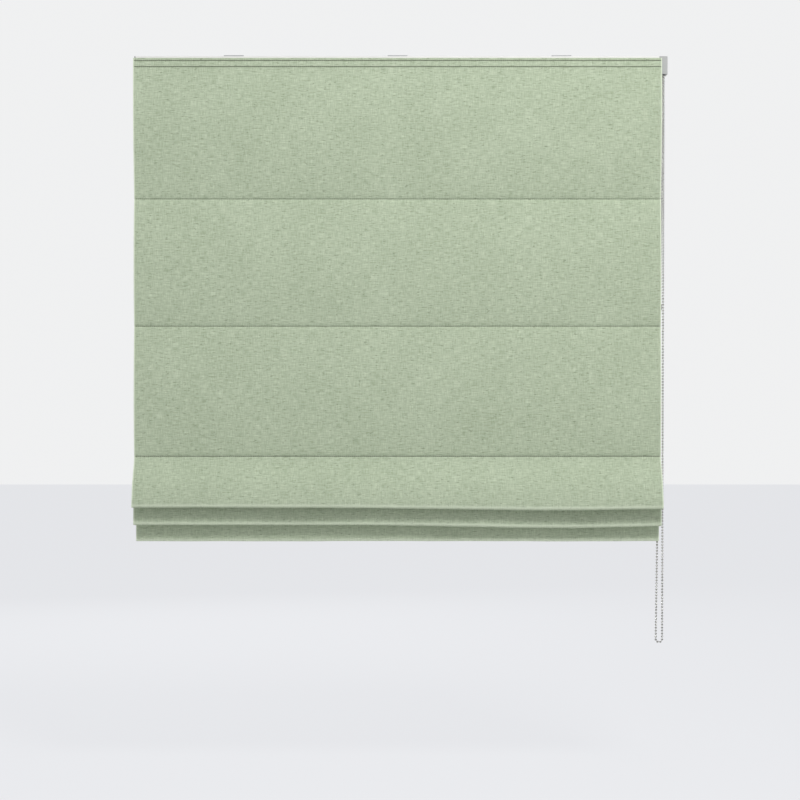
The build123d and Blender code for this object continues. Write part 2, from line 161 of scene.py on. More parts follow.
def mix_colour(tree, share, first, second):
    """A colour between two, each a colour or an output."""
    made = tree.nodes.new("ShaderNodeMix")
    made.data_type = "RGBA"
    sockets = [s for s in made.inputs if s.enabled]
    for socket, value in zip(sockets, (share, first, second)):
        if hasattr(value, "is_linked"):
            tree.links.new(value, socket)
        elif isinstance(value, (int, float)):
            socket.default_value = value
        else:
            socket.default_value = (*value, 1)
    return [s for s in made.outputs if s.enabled][0]


def bump(tree, shader, height, strength, distance):
    """Feeds a height to the shader's normal."""
    made = tree.nodes.new("ShaderNodeBump")
    made.inputs["Strength"].default_value = strength
    made.inputs["Distance"].default_value = distance
    tree.links.new(height, made.inputs["Height"])
    tree.links.new(made.outputs["Normal"], shader.inputs["Normal"])


def moulded_grain():
    """A group: the fine mottled grain of a moulded or coated surface, as a tone and a height."""
    group = bpy.data.node_groups.new("moulded_grain", "ShaderNodeTree")
    group.interface.new_socket("Scale", in_out="INPUT", socket_type="NodeSocketFloat")
    group.interface.new_socket("Tone", in_out="OUTPUT", socket_type="NodeSocketFloat")
    group.interface.new_socket("Height", in_out="OUTPUT", socket_type="NodeSocketFloat")
    inside, outside = group.nodes.new("NodeGroupInput"), group.nodes.new("NodeGroupOutput")
    place = group.nodes.new("ShaderNodeTexCoord")
    fine, broad = group.nodes.new("ShaderNodeTexNoise"), group.nodes.new("ShaderNodeTexNoise")
    broad.inputs["Scale"].default_value = 28.0
    broad.inputs["Detail"].default_value = 4.0
    fine.inputs["Detail"].default_value = 3.0
    for texture in (fine, broad):
        group.links.new(place.outputs["Object"], texture.inputs["Vector"])
    group.links.new(inside.outputs["Scale"], fine.inputs["Scale"])
    group.links.new(broad.outputs["Fac"], outside.inputs["Tone"])
    group.links.new(fine.outputs["Fac"], outside.inputs["Height"])
    return group


grain_group = moulded_grain()


def grained_finish(name, dark, light, roughness, metallic, grain_scale, strength):
    """A moulded, coated or plated finish: two close tones, a fine grain and its roughness."""
    finish, shader = new_finish(name, roughness, metallic)
    tree = finish.node_tree
    grain = tree.nodes.new("ShaderNodeGroup")
    grain.node_tree = grain_group
    grain.inputs["Scale"].default_value = grain_scale
    tree.links.new(mix_colour(tree, grain.outputs["Tone"], dark, light), shader.inputs["Base Color"])
    rough_swing = 0.16
    rough = math_step(tree, "MULTIPLY_ADD", grain.outputs["Height"], rough_swing, roughness - rough_swing / 2)
    tree.links.new(rough, shader.inputs["Roughness"])
    bump(tree, shader, grain.outputs["Height"], strength, 0.0002)
    return finish


def dress(names, finish):
    """Puts a finish on CAD nodes."""
    for name in names:
        piece = nodes[name]
        piece.data.materials.clear()
        piece.data.materials.append(finish)


rail_coat = grained_finish("rail_aluminium", (0.74, 0.74, 0.73), (0.80, 0.80, 0.79), 0.42, 0.0, 1400.0, 0.12)
dress(["headrail"], rail_coat)
zinc = grained_finish("bracket_steel", (0.42, 0.43, 0.45), (0.62, 0.63, 0.64), 0.36, 1.0, 700.0, 0.1)
dress(["bracket_left", "bracket_centre", "bracket_right"], zinc)
cap_plastic = grained_finish("housing_plastic", (0.36, 0.37, 0.37), (0.44, 0.45, 0.45), 0.5, 0.0, 2200.0,
                             0.25)
dress(["end_cap_left", "control_housing", "control_cover"], cap_plastic)

# ------------------------------------------------------------------ drive
# Chain wheel, wrap spring, hexagonal shaft and three spools turn together inside the rail.
# The spools sit in moulded cradles, with the cord that is already wound lying in even turns.
gear_plastic = grained_finish("drive_plastic", (0.62, 0.63, 0.62), (0.70, 0.71, 0.70), 0.38, 0.0, 1800.0,
                              0.15)
dress(["chain_wheel", "cord_spool_left", "cord_spool_centre", "cord_spool_right", "spool_cradle_left",
       "spool_cradle_centre", "spool_cradle_right"], gear_plastic)
drawn_steel = grained_finish("shaft_steel", (0.40, 0.41, 0.42), (0.58, 0.59, 0.60), 0.3, 1.0, 1200.0, 0.08)
dress(["drive_shaft", "clutch_spring"], drawn_steel)

# ------------------------------------------------------------------ ball chain
# An endless string of nickel balls, 4.5 mm across and 6 mm apart, over the wheel in the control unit.
# It hangs beside the fabric's edge at the front and behind it at the back, down to a tight loop.
chain_x, wheel_y = 0.5365, 0.00955
chain_route = [
    (0.53291, 0.01785, -0.511),
    (0.52374, 0.0186, -1.1717),
    (0.5236, 0.0186, -1.1847),
    (0.5363, 0.0164, -1.1847),
    (0.5363, 0.0161, -1.1717),
    (chain_x, -wheel_y, -0.068),
    (chain_x, -wheel_y, -0.026),
    (chain_x, -wheel_y, -0.01045),
    (chain_x, wheel_y, -0.01045),
    (chain_x, wheel_y, -0.026),
    (chain_x, wheel_y, -0.050),
    (0.536, 0.0176, -0.300),
    (0.53307, 0.01783, -0.500),
]
route_data = bpy.data.curves.new("chain_route", "CURVE")
route_data.dimensions = "3D"
line = route_data.splines.new("NURBS")
line.points.add(len(chain_route) - 1)
for point, place in zip(line.points, chain_route):
    point.co = (*place, 1)
line.order_u = 3
line.use_endpoint_u = True
line.resolution_u = 60
route_object = bpy.data.objects.new("chain_route", route_data)
scene.collection.objects.link(route_object)
bpy.context.view_layer.update()
route_mesh = bpy.data.meshes.new_from_object(route_object)
chain_line = [v.co.copy() for v in route_mesh.vertices]
bpy.data.objects.remove(route_object)

ball_radius, ball_pitch = 0.00225, 0.006
link_radius, link_length, link_sides = 0.0006, 0.003, 6
bpy.ops.mesh.primitive_uv_sphere_add(segments=14, ring_count=9, radius=ball_radius)
ball = bpy.context.object
ball_corners = [v.co.copy() for v in ball.data.vertices]
ball_faces = [tuple(p.vertices) for p in ball.data.polygons]
bpy.data.objects.remove(ball)


def points_along(path, pitch):
    """Places at an even pitch along a line of points, with the way the line runs there."""
    found, carried = [], pitch / 2
    for a, b in zip(path, path[1:]):
        span = (b - a).length
        way = (b - a).normalized()
        while carried <= span:
            found.append((a + way * carried, way))
            carried += pitch
        carried -= span
    return found


def ring_at(place, way, radius, count):
    """A ring of points square to a way."""
    side = way.cross(Vector((0.3, 0.9, 0.1))).normalized()
    other = way.cross(side)
    return [place + (side * cos(2 * pi * k / count) + other * sin(2 * pi * k / count)) * radius
            for k in range(count)]


chain_corners, chain_faces = [], []
for place, way in points_along(chain_line, ball_pitch):
    turn = way.to_track_quat("Z", "X")
    first = len(chain_corners)
    chain_corners += [place + turn @ corner for corner in ball_corners]
    chain_faces += [tuple(first + k for k in face) for face in ball_faces]
link_stations = points_along(chain_line, ball_pitch / 2)
for (start, way), (stop, _) in zip(link_stations[1::2], link_stations[2::2]):
    middle = (start + stop) / 2
    first = len(chain_corners)
    for shift in (-link_length, 0.0):
        chain_corners += ring_at(middle + way * shift, way, link_radius, link_sides)
    for k in range(link_sides):
        after = (k + 1) % link_sides
        chain_faces.append((first + k, first + after, first + link_sides + after, first + link_sides + k))
chain_mesh = bpy.data.meshes.new("ball_chain")
chain_mesh.from_pydata(chain_corners, [], chain_faces)
chain_mesh.polygons.foreach_set("use_smooth", [True] * len(chain_mesh.polygons))
ball_chain = bpy.data.objects.new("ball_chain", chain_mesh)
scene.collection.objects.link(ball_chain)
nickel = grained_finish("chain_nickel", (0.40, 0.40, 0.39), (0.58, 0.58, 0.56), 0.2, 1.0, 900.0, 0.08)
chain_mesh.materials.append(nickel)
dress(["chain_connector"], nickel)
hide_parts("pull_chain")
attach(ball_chain, "headrail")

# ------------------------------------------------------------------ tape
# Woven nylon hook-and-loop tape: the hook half is stuck to the rail and the loop half is sewn on.
tape_white = grained_finish("tape_white", (0.66, 0.66, 0.64), (0.84, 0.84, 0.82), 0.9, 0.0, 1500.0, 0.9)
dress(["hook_tape", "loop_tape"], tape_white)

# ------------------------------------------------------------------ face fabric
# Sage green, linen look, turned in at both sides. Its rod seams and header are stitched through in
# a darker thread. It parts only where one length follows another rod, and reads as one cloth.
stitch_pitch = 0.004


# The weave is fine plain threads, with long uneven slubs both ways and a few dark flecks. Its pattern
# follows the cloth, because its map is in metres along and across the roll.
def woven_cloth():
    """A group: the weave's tone, its flecks and its height, from a map in metres."""
    group = bpy.data.node_groups.new("woven_cloth", "ShaderNodeTree")
    group.interface.new_socket("Map", in_out="INPUT", socket_type="NodeSocketVector")
    group.interface.new_socket("Thread", in_out="INPUT", socket_type="NodeSocketFloat")
    for name in ("Tone", "Fleck", "Height"):
        group.interface.new_socket(name, in_out="OUTPUT", socket_type="NodeSocketFloat")
    inside, outside = group.nodes.new("NodeGroupInput"), group.nodes.new("NodeGroupOutput")

    def streaks(across, along, detail):
        """Noise drawn out along the threads of one direction."""
        stretch = group.nodes.new("ShaderNodeMapping")
        stretch.inputs["Scale"].default_value = (across, along, 1)
        group.links.new(inside.outputs["Map"], stretch.inputs["Vector"])
        noise = group.nodes.new("ShaderNodeTexNoise")
        noise.noise_dimensions = "2D"
        noise.inputs["Scale"].default_value = 1.0
        noise.inputs["Detail"].default_value = detail
        noise.inputs["Roughness"].default_value = 0.6
        group.links.new(stretch.outputs["Vector"], noise.inputs["Vector"])
        return noise.outputs["Fac"]

    weft = streaks(55.0, 620.0, 3.0)
    warp = streaks(640.0, 60.0, 3.0)
    cloud = streaks(9.0, 9.0, 2.0)
    weft_part = math_step(group, "MULTIPLY", weft, 0.56)
    warp_part = math_step(group, "MULTIPLY", warp, 0.42)
    both = math_step(group, "ADD", weft_part, warp_part)
    tone = math_step(group, "MULTIPLY_ADD", cloud, 0.10, math_step(group, "SUBTRACT", both, 0.04))
    group.links.new(tone, outside.inputs["Tone"])
    speck = streaks(85.0, 420.0, 1.0)
    group.links.new(math_step(group, "GREATER_THAN", speck, 0.70), outside.inputs["Fleck"])
    parts = group.nodes.new("ShaderNodeSeparateXYZ")
    group.links.new(inside.outputs["Map"], parts.inputs[0])
    threads = []
    for axis in ("X", "Y"):
        wave = math_step(group, "MULTIPLY", parts.outputs[axis], inside.outputs["Thread"])
        threads.append(math_step(group, "SINE", wave))
    plain = math_step(group, "MULTIPLY", threads[0], threads[1])
    height = math_step(group, "MULTIPLY_ADD", plain, 0.25, tone)
    group.links.new(height, outside.inputs["Height"])
    return group


weave_group = woven_cloth()


def cloth_finish(name, dark, light, thread_pitch, contrast, strength, flecks, seams=(), painted_highlights=(),
                 edge=None):
    """A woven fabric. Seams are places along the roll, darkened by the stitch line and by painted shade in
    its groove.
    The places listed after them are fold turns, each with a pale painted highlight. Beyond edge it is paler."""
    seam_half, highlight_half = 0.0018, 0.0048
    highlight_share, rim_share = 0.55, 0.8
    finish, shader = new_finish(name, 0.88)
    shader.inputs["Sheen Weight"].default_value = 0.12
    shader.inputs["Sheen Roughness"].default_value = 0.5
    shader.inputs["Specular IOR Level"].default_value = 0.25
    tree = finish.node_tree
    cloth_map = tree.nodes.new("ShaderNodeUVMap")
    cloth_map.uv_map = "cloth_map"
    weave = tree.nodes.new("ShaderNodeGroup")
    weave.node_tree = weave_group
    weave.inputs["Thread"].default_value = 2 * pi / thread_pitch
    tree.links.new(cloth_map.outputs["UV"], weave.inputs["Map"])
    share = math_step(tree, "MULTIPLY_ADD", weave.outputs["Tone"], contrast, 0.5 - contrast / 2)
    share = math_step(tree, "MINIMUM", math_step(tree, "MAXIMUM", share, 0.0), 1.0)
    colour = mix_colour(tree, share, dark, light)
    fleck = math_step(tree, "MULTIPLY", weave.outputs["Fleck"], flecks)
    colour = mix_colour(tree, fleck, colour, [0.6 * value for value in dark])
    parts = tree.nodes.new("ShaderNodeSeparateXYZ")
    tree.links.new(cloth_map.outputs["UV"], parts.inputs[0])
    # Painted shade: each seam's dark band stands for its stitch line and also for the shade in the groove
    # where the seam tucks the cloth.
    if seams:
        stitch_and_shade = None
        for place in seams:
            away = math_step(tree, "ABSOLUTE", math_step(tree, "SUBTRACT", parts.outputs["Y"], place))
            line_share = math_step(tree, "SUBTRACT", 1.0, math_step(tree, "DIVIDE", away, seam_half))
            line_share = math_step(tree, "MAXIMUM", line_share, 0.0)
            stitch_and_shade = line_share if stitch_and_shade is None else math_step(tree, "MAXIMUM", stitch_and_shade, line_share)
        beat = math_step(tree, "SINE", math_step(tree, "MULTIPLY", parts.outputs["X"], 2 * pi / stitch_pitch))
        stitch_and_shade = math_step(tree, "MULTIPLY", stitch_and_shade, math_step(tree, "MULTIPLY_ADD", beat, 0.15, 0.85))
        colour = mix_colour(tree, stitch_and_shade, colour, [0.1 * value for value in dark])
    # Painted highlight: a pale line at each fold's lip and at the hem's turn, standing in for light caught
    # where the cloth turns over.
    for place in painted_highlights:
        away = math_step(tree, "ABSOLUTE", math_step(tree, "SUBTRACT", parts.outputs["Y"], place))
        paler = math_step(tree, "SUBTRACT", 1.0, math_step(tree, "DIVIDE", away, highlight_half))
        paler = math_step(tree, "MULTIPLY", math_step(tree, "MAXIMUM", paler, 0.0), highlight_share)
        colour = mix_colour(tree, paler, colour, (0.76, 0.84, 0.68))
    # Beyond edge the cloth is a lighter sage, in a narrow band along each side.
    if edge:
        reach = math_step(tree, "ABSOLUTE", parts.outputs["X"])
        rim = math_step(tree, "GREATER_THAN", reach, edge)
        colour = mix_colour(tree, math_step(tree, "MULTIPLY", rim, rim_share), colour, (0.70, 0.77, 0.63))
    tree.links.new(colour, shader.inputs["Base Color"])
    bump(tree, shader, weave.outputs["Height"], strength, 0.0004)
    return finish


# The cloth's way from the rail to the hem, seen from the side. It hangs nearly flat down to the third
# rod. Below that it hangs in two folds in front of the hem, which turns up round its weight bar.
rod_level = [(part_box(f"rod_{k}")[0].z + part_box(f"rod_{k}")[1].z) / 2 for k in range(1, 6)]
header_low, header_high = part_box("face_panel_1")
face_thick, lining_thick, layer_gap = 0.0008, 0.0005, 0.0003
header_y = header_low.y + face_thick + layer_gap / 2
hanging_y = 0.00015
fold_one, fold_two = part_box("face_panel_4"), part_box("face_panel_5")
hem_low, hem_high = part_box("face_hem")
half_width = header_high.x
half_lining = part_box("lining_panel_2")[1].x
crest_front, crest_back = -0.0032, 0.0001
crest_middle = (crest_front + crest_back) / 2
wall = layer_gap / 2 + face_thick


def rounded(corners):
    """A line of (y, z) points with its corners cut smooth, and its two ends kept."""
    rounds = 4
    line = [Vector(c) for c in corners]
    for _ in range(rounds):
        cut = [line[0]]
        for a, b in zip(line, line[1:]):
            cut += [a * 0.75 + b * 0.25, a * 0.25 + b * 0.75]
        line = cut + [line[-1]]
    return line


def evenly(line, step):
    """The line again, with points an even step apart, and the length of the line."""
    total = sum((b - a).length for a, b in zip(line, line[1:]))
    count = max(2, round(total / step))
    spots, walked, index = [line[0]], 0.0, 0
    for k in range(1, count):
        goal = total * k / count
        while walked + (line[index + 1] - line[index]).length < goal:
            walked += (line[index + 1] - line[index]).length
            index += 1
        a, b = line[index], line[index + 1]
        spots.append(a.lerp(b, (goal - walked) / (b - a).length))
    return spots + [line[-1]], total


def bowed(top, bottom, y_top, y_bottom, bow, top_seam=1):
    """A panel that bellies a little towards the room between two seams, where the stitching tucks it."""
    steps = 40
    tuck_depth, tuck_reach = 0.0011, 0.004
    spots = []
    for k in range(steps + 1):
        t = k / steps
        belly = bow * sin(pi * t) ** 0.8
        from_top, from_bottom = t * (top - bottom), (1 - t) * (top - bottom)
        at_top, at_bottom = exp(-(from_top / tuck_reach) ** 2), exp(-(from_bottom / tuck_reach) ** 2)
        tuck = tuck_depth * (top_seam * at_top + at_bottom)
        spots.append(Vector((y_top + (y_bottom - y_top) * t - belly + tuck, top + (bottom - top) * t)))
    return spots


lip_one, lip_two = fold_one[0].z + wall, fold_two[0].z + wall
nose_one, nose_two = fold_one[0].y + wall, fold_two[0].y + wall
hem_turn = hem_low.z + wall
hem_back = hem_high.y - wall
hem_front_y = 0.0076
below_rail = 0.004
header_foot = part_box("headrail")[0].z - below_rail
runs = {
    "header": [Vector((header_y, header_high.z)), Vector((header_y, header_foot))],
    "panel_1": bowed(header_foot, rod_level[0], header_y, hanging_y, 0.006, top_seam=0),
    "panel_2": bowed(rod_level[0], rod_level[1], hanging_y, hanging_y, 0.009),
    "panel_3": bowed(rod_level[1], rod_level[2], hanging_y, hanging_y, 0.0085),
    "fold_1_front": rounded([(hanging_y, rod_level[2]), (-0.007, rod_level[2] - 0.016),
                             (nose_one * 0.80, lip_one + 0.052), (nose_one, lip_one + 0.022),
                             (nose_one - 0.001, lip_one), (nose_one + 0.006, lip_one - 0.0002)]),
    "fold_1_back": rounded([(nose_one + 0.006, lip_one - 0.0002), (nose_one + 0.0112, lip_one),
                            (nose_one + 0.013, lip_one + 0.016), (crest_front - 0.0005, rod_level[3] - 0.006),
                            (crest_front, rod_level[3] - 0.001), (crest_middle, rod_level[3] - 0.0009)]),
    "fold_2_front": rounded([(crest_middle, rod_level[3] - 0.0009), (crest_back, rod_level[3] - 0.001),
                             (-0.0052, rod_level[4] + 0.0005), (nose_two * 0.86, lip_two + 0.045),
                             (nose_two - 0.0005, lip_two + 0.012), (nose_two - 0.0005, lip_two),
                             (nose_two + 0.005, lip_two - 0.0002)]),
    "fold_2_back": rounded([(nose_two + 0.005, lip_two - 0.0002), (nose_two + 0.0095, lip_two),
                            (nose_two + 0.0098, lip_two + 0.014),
                            (crest_front - 0.0002, rod_level[4] - 0.007),
                            (crest_front, rod_level[4] - 0.001), (crest_middle, rod_level[4] - 0.0009)]),
    "hem": rounded([(crest_middle, rod_level[4] - 0.0009), (crest_back, rod_level[4] - 0.001),
                    (0.0012, rod_level[4] - 0.02), (hem_front_y - 0.0002, hem_turn + 0.034),
                    (hem_front_y, hem_turn + 0.008), (hem_front_y, hem_turn), (hem_back, hem_turn),
                    (hem_back, hem_turn + 0.008), (hem_back, hem_turn + 0.03)]),
}
roll_place, walked = {}, 0.0
for run_name in runs:
    roll_place[run_name] = walked
    walked += sum((b - a).length for a, b in zip(runs[run_name], runs[run_name][1:]))


def drift(x, seed):
    """A slow, uneven swing across the width, between about -1 and 1."""
    return (sin(x * 9.7 + seed) * 0.5 + sin(x * 23.0 + seed * 2.1) * 0.28 + sin(x * 51.0 + seed * 0.7) * 0.22)


def pucker(x, seed):
    """Short gathers of the thread tension along a seam."""
    return sin(x * 310 + 3 * sin(x * 41 + seed)) * (0.5 + 0.5 * sin(x * 67 + seed * 1.3))


def sheet_mesh(name, run, near, far, half, shape, roll_start):
    """A closed sheet between two distances from a run, with its map in metres.
    shape(x, t, total) gives small moves in x, y and z at a point of the sheet."""
    row_step, crisp_angle = 0.0032, 0.9
    line, total = evenly(run, row_step)
    count = len(line)
    normals = []
    for k in range(count):
        way = (line[min(k + 1, count - 1)] - line[max(k - 1, 0)]).normalized()
        normals.append(Vector((-way.y, way.x)))
    columns = 200
    corners, maps = [], []
    for distance in (near, far):
        for k, (spot, normal) in enumerate(zip(line, normals)):
            t = k / (count - 1)
            for c in range(columns + 1):
                x = -half + 2 * half * c / columns
                dx, dy, dz = shape(x, t, total)
                place = spot + normal * distance
                corners.append((x + dx, place.x + dy, place.y + dz))
                maps.append((x, roll_start + t * total))
    row = columns + 1
    layer = row * count
    faces = []
    for k in range(count - 1):
        for c in range(columns):
            a = k * row + c
            faces.append((a, a + row, a + row + 1, a + 1))
            b = a + layer
            faces.append((b, b + 1, b + row + 1, b + row))
    for k in range(count - 1):
        for c in (0, columns):
            a, b = k * row + c, (k + 1) * row + c
            side = (a, a + layer, b + layer, b)
            faces.append(side if c == 0 else side[::-1])
    for c in range(columns):
        for k in (0, count - 1):
            a, b = k * row + c, k * row + c + 1
            side = (a, b, b + layer, a + layer)
            faces.append(side if k == 0 else side[::-1])
    mesh = bpy.data.meshes.new(name)
    mesh.from_pydata(corners, [], faces)
    cloth_map = mesh.uv_layers.new(name="cloth_map")
    for loop in mesh.loops:
        cloth_map.data[loop.index].uv = maps[loop.vertex_index]
    mesh.polygons.foreach_set("use_smooth", [True] * len(mesh.polygons))
    piece = bpy.data.objects.new(name, mesh)
    scene.collection.objects.link(piece)
    bpy.ops.object.select_all(action="DESELECT")
    piece.select_set(True)
    bpy.context.view_layer.objects.active = piece
    bpy.ops.object.shade_smooth_by_angle(angle=crisp_angle)
    return piece, total


def flat_shape(seed, seam_top=True):
    """Small unevenness of a panel that hangs flat: slow swings and gathers at its seams."""
    gather, gather_reach = 0.00035, 0.010

    def shape(x, t, total):
        s = t * total
        belly = sin(pi * t)
        dy = 0.0013 * belly * drift(x, seed) + 0.0007 * belly * sin(x * 31 + 6 * t + seed)
        if seam_top:
            dy += gather * pucker(x, seed) * exp(-s / gather_reach)
        dy += gather * pucker(x, seed + 1) * exp(-(total - s) / gather_reach)
        return 0.0, dy, 0.0
    return shape


def header_shape(x, t, total):
    """The header is held flat by its tape."""
    return 0.0, 0.0, 0.0


def fold_shape(lip_at_end, seed, raised, sag, sag_middle, sag_width, flare):
    """Unevenness of one side of a hanging fold. It grows from the seam to the lip, and the lip hangs
    lowest at sag_middle. Two narrow nips run up a little way from it."""
    fade_in, nip_depth = 0.25, 0.0012

    def shape(x, t, total):
        to_lip = t if lip_at_end else 1 - t
        grow = min(1.0, to_lip / fade_in)
        grow = grow * grow * (3 - 2 * grow)
        dip = raised - sag * exp(-((x - sag_middle) / sag_width) ** 2)
        dz = grow * to_lip ** 2 * (0.0004 * drift(x, seed) + dip)
        dy = grow * (0.0016 * drift(x, seed + 2.0) * to_lip)
        nip = exp(-((x - 0.19) / 0.010) ** 2) + 0.8 * exp(-((x + 0.455) / 0.009) ** 2)
        dy += nip_depth * nip * to_lip ** 3
        dx = flare * to_lip ** 2 * (x / half_width)
        return dx, dy, dz
    return shape


def hem_shape(x, t, total):
    """The hem pulls in a little to its weight bar and is straight along it."""
    inward = min(1.0, t * 1.6)
    dy = 0.0007 * drift(x, 4.0) * (1 - inward) * min(1.0, 6 * t)
    return -0.003 * inward * (x / half_width), dy, 0.0005 * drift(x, 1.5) * inward


# Places along the roll: the header's two rows below its top edge, the seams, and the three fold turns that
# get a painted highlight.
upper_row, lower_row = 0.0052, 0.0176
seam_places = [roll_place["header"] + upper_row, roll_place["header"] + lower_row,
               roll_place["panel_2"], roll_place["panel_3"], roll_place["fold_1_front"]]
foot_corner = 0.002
hem_turn_place = roll_place["hem"] + sum((b - a).length for a, b in zip(runs["hem"], runs["hem"][1:])
                                         if a.y > hem_turn + foot_corner and a.x < hem_back - foot_corner)
above_lip_one, above_lip_two = 0.0085, 0.0075
highlight_places = [roll_place["fold_1_back"] - above_lip_one, roll_place["fold_2_back"] - above_lip_two,
                 hem_turn_place]
rim_width = 0.0022
sage = cloth_finish("face_fabric", (0.290, 0.355, 0.240), (0.570, 0.650, 0.500), 0.0011, 2.3, 0.6, 0.5,
                    seams=seam_places, painted_highlights=highlight_places, edge=half_width - rim_width)
lining_white = cloth_finish("lining_fabric", (0.70, 0.68, 0.62), (0.82, 0.80, 0.74), 0.0006, 1.0, 0.3, 0.06)

# Each length's first and second body, its unevenness, and where a stretch between two bodies starts
# and ends. The shape of a fold is one shape, for its front and its back alike.
fold_one_shape = (5.1, 0.0032, 0.0058, 0.30, 0.26, 0.0012)
fold_two_shape = (7.3, 0.0043, 0.0060, 0.31, 0.24, 0.0)
pieces_of = {
    "header": ("headrail", None, header_shape, None, None),
    "panel_1": ("headrail", None, flat_shape(0.4, seam_top=False), None, None),
    "panel_2": ("rod_1_group", "rod_2_group", flat_shape(2.2), (0, 0, rod_level[0]), (0, 0, rod_level[1])),
    "panel_3": ("rod_2_group", "rod_3_group", flat_shape(3.9), (0, 0, rod_level[1]), (0, 0, rod_level[2])),
    "fold_1_front": ("rod_3_group", None, fold_shape(True, *fold_one_shape), None, None),
    "fold_1_back": ("rod_3_group", "rod_4_group", fold_shape(False, *fold_one_shape),
                    (0, 0, lip_one + 0.004), (0, 0, rod_level[3] - 0.002)),
    "fold_2_front": ("rod_4_group", None, fold_shape(True, *fold_two_shape), None, None),
    "fold_2_back": ("rod_4_group", "rod_5_group", fold_shape(False, *fold_two_shape),
                    (0, 0, lip_two + 0.004), (0, 0, rod_level[4] - 0.002)),
    "hem": ("rod_5_group", None, hem_shape, None, None),
}
stands_for = {"header": "panel_1", "panel_1": "panel_1", "panel_2": "panel_2", "panel_3": "panel_3",
              "fold_1_front": "panel_4", "fold_1_back": "panel_4", "fold_2_front": "panel_5",
              "fold_2_back": "panel_5", "hem": "hem"}


def turn_cloth(piece, layer, run_name):
    """The rear length of a fold turns over as the fold opens, so the cloth that comes to the front
    is the face's, and what goes to the back, clear of the lip, is the lining's."""
    lip_length = 0.022
    mesh = piece.data
    mesh.materials.clear()
    mesh.materials.append(sage)
    mesh.materials.append(lining_white)
    if layer == "lining":
        return
    cloth_map = mesh.uv_layers["cloth_map"]
    for face in mesh.polygons:
        from_lip = cloth_map.data[face.loop_start].uv.y - roll_place[run_name]
        inset = abs(cloth_map.data[face.loop_start].uv.x) < half_lining
        face.material_index = 1 if from_lip > lip_length and inset else 0


def hang(layer, run_name, near, far, half, finish):
    """Makes one length of a layer. A length with one body is hung on it, and one between two bodies
    is only baked in place. The lining stops above the hem's turn.
    """
    first_body, second_body, shape, start, end = pieces_of[run_name]
    run = runs[run_name]
    if layer == "lining" and run_name == "hem":
        lining_foot, front_side = hem_turn + 0.036, 0.0078
        run = [spot for spot in run if spot.y > lining_foot and spot.x < front_side]
    piece, total = sheet_mesh(f"{layer}_cloth_{run_name}", run, near, far, half, shape, roll_place[run_name])
    piece.data.materials.append(finish)
    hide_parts(f"{layer}_{stands_for[run_name]}")
    if second_body:
        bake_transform(piece)
    else:
        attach(piece, first_body)
    if run_name == "panel_1":
        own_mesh(piece)
    if run_name in ("fold_1_back", "fold_2_back"):
        turn_cloth(piece, layer, run_name)


for run_name in runs:
    hang("face", run_name, -layer_gap / 2 - face_thick, -layer_gap / 2, half_width, sage)

# ------------------------------------------------------------------ lining
# Off-white sateen, sewn in behind the face with the same seams and 12 mm short of its side edges.
for run_name in runs:
    hang("lining", run_name, layer_gap / 2, layer_gap / 2 + lining_thick, half_lining, lining_white)

# ------------------------------------------------------------------ stitching
# Two rows hold the header's tape, and one row closes each rod seam. The thread is a darker sage, in
# lockstitches about 3 mm long that sit on the cloth's face.
thread_finish = grained_finish("sewing_thread", (0.12, 0.15, 0.10), (0.19, 0.23, 0.15), 0.7, 0.0, 3000.0, 0.2)
stitch_long, thread_radius, side_margin = 0.0031, 0.00028, 0.005
proud = 0.0001


def stitch_row(name, y, z, body):
    """A row of stitches across the whole width."""
    bpy.ops.mesh.primitive_cylinder_add(vertices=6, radius=thread_radius, depth=stitch_long,
                                        location=(-half_width + side_margin, y, z), rotation=(0, pi / 2, 0))
    row = bpy.context.object
    row.name = name
    bpy.ops.object.transform_apply(location=True, rotation=True, scale=True)
    bpy.ops.object.mode_set(mode="EDIT")
    bpy.ops.mesh.select_all(action="SELECT")
    bpy.ops.mesh.bevel(offset=0.00012, segments=1, affect="EDGES")
    bpy.ops.object.mode_set(mode="OBJECT")
    array = row.modifiers.new("stitches", "ARRAY")
    array.use_relative_offset = False
    array.use_constant_offset = True
    array.constant_offset_displace = (stitch_pitch, 0, 0)
    array.count = int(2 * (half_width - side_margin) / stitch_pitch)
    bpy.ops.object.modifier_apply(modifier="stitches")
    row.data.materials.append(thread_finish)
    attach(row, body)
    bpy.ops.object.select_all(action="DESELECT")


stitch_row("header_stitch_upper", header_low.y - proud, header_high.z - upper_row, "headrail")
stitch_row("header_stitch_lower", header_low.y - proud, header_high.z - lower_row, "headrail")
for number in (1, 2, 3):
    stitch_row(f"seam_stitch_{number}", 0.0002, rod_level[number - 1], f"rod_{number}_group")

# ------------------------------------------------------------------ rods, pockets, caps and rings
# Each rod is a 4 mm fibreglass rod, capped, in a pocket of lining cloth sewn across the back.
# Three clear rings hang on each pocket, and the lift cords run down through them.
fibreglass = grained_finish("rod_fibreglass", (0.68, 0.69, 0.64), (0.76, 0.77, 0.72), 0.4, 0.0, 500.0, 0.1)
clear = grained_finish("clear_plastic", (0.72, 0.73, 0.73), (0.80, 0.81, 0.81), 0.25, 0.0, 800.0, 0.05)
for number in range(1, 6):
    dress([f"rod_{number}"], fibreglass)
    dress([f"rod_caps_{number}", f"cord_rings_{number}"], clear)
dress(["bottom_bar_caps", "cord_stops"], clear)
pocket_cloth, pocket_ease = 0.0005, 0.00015


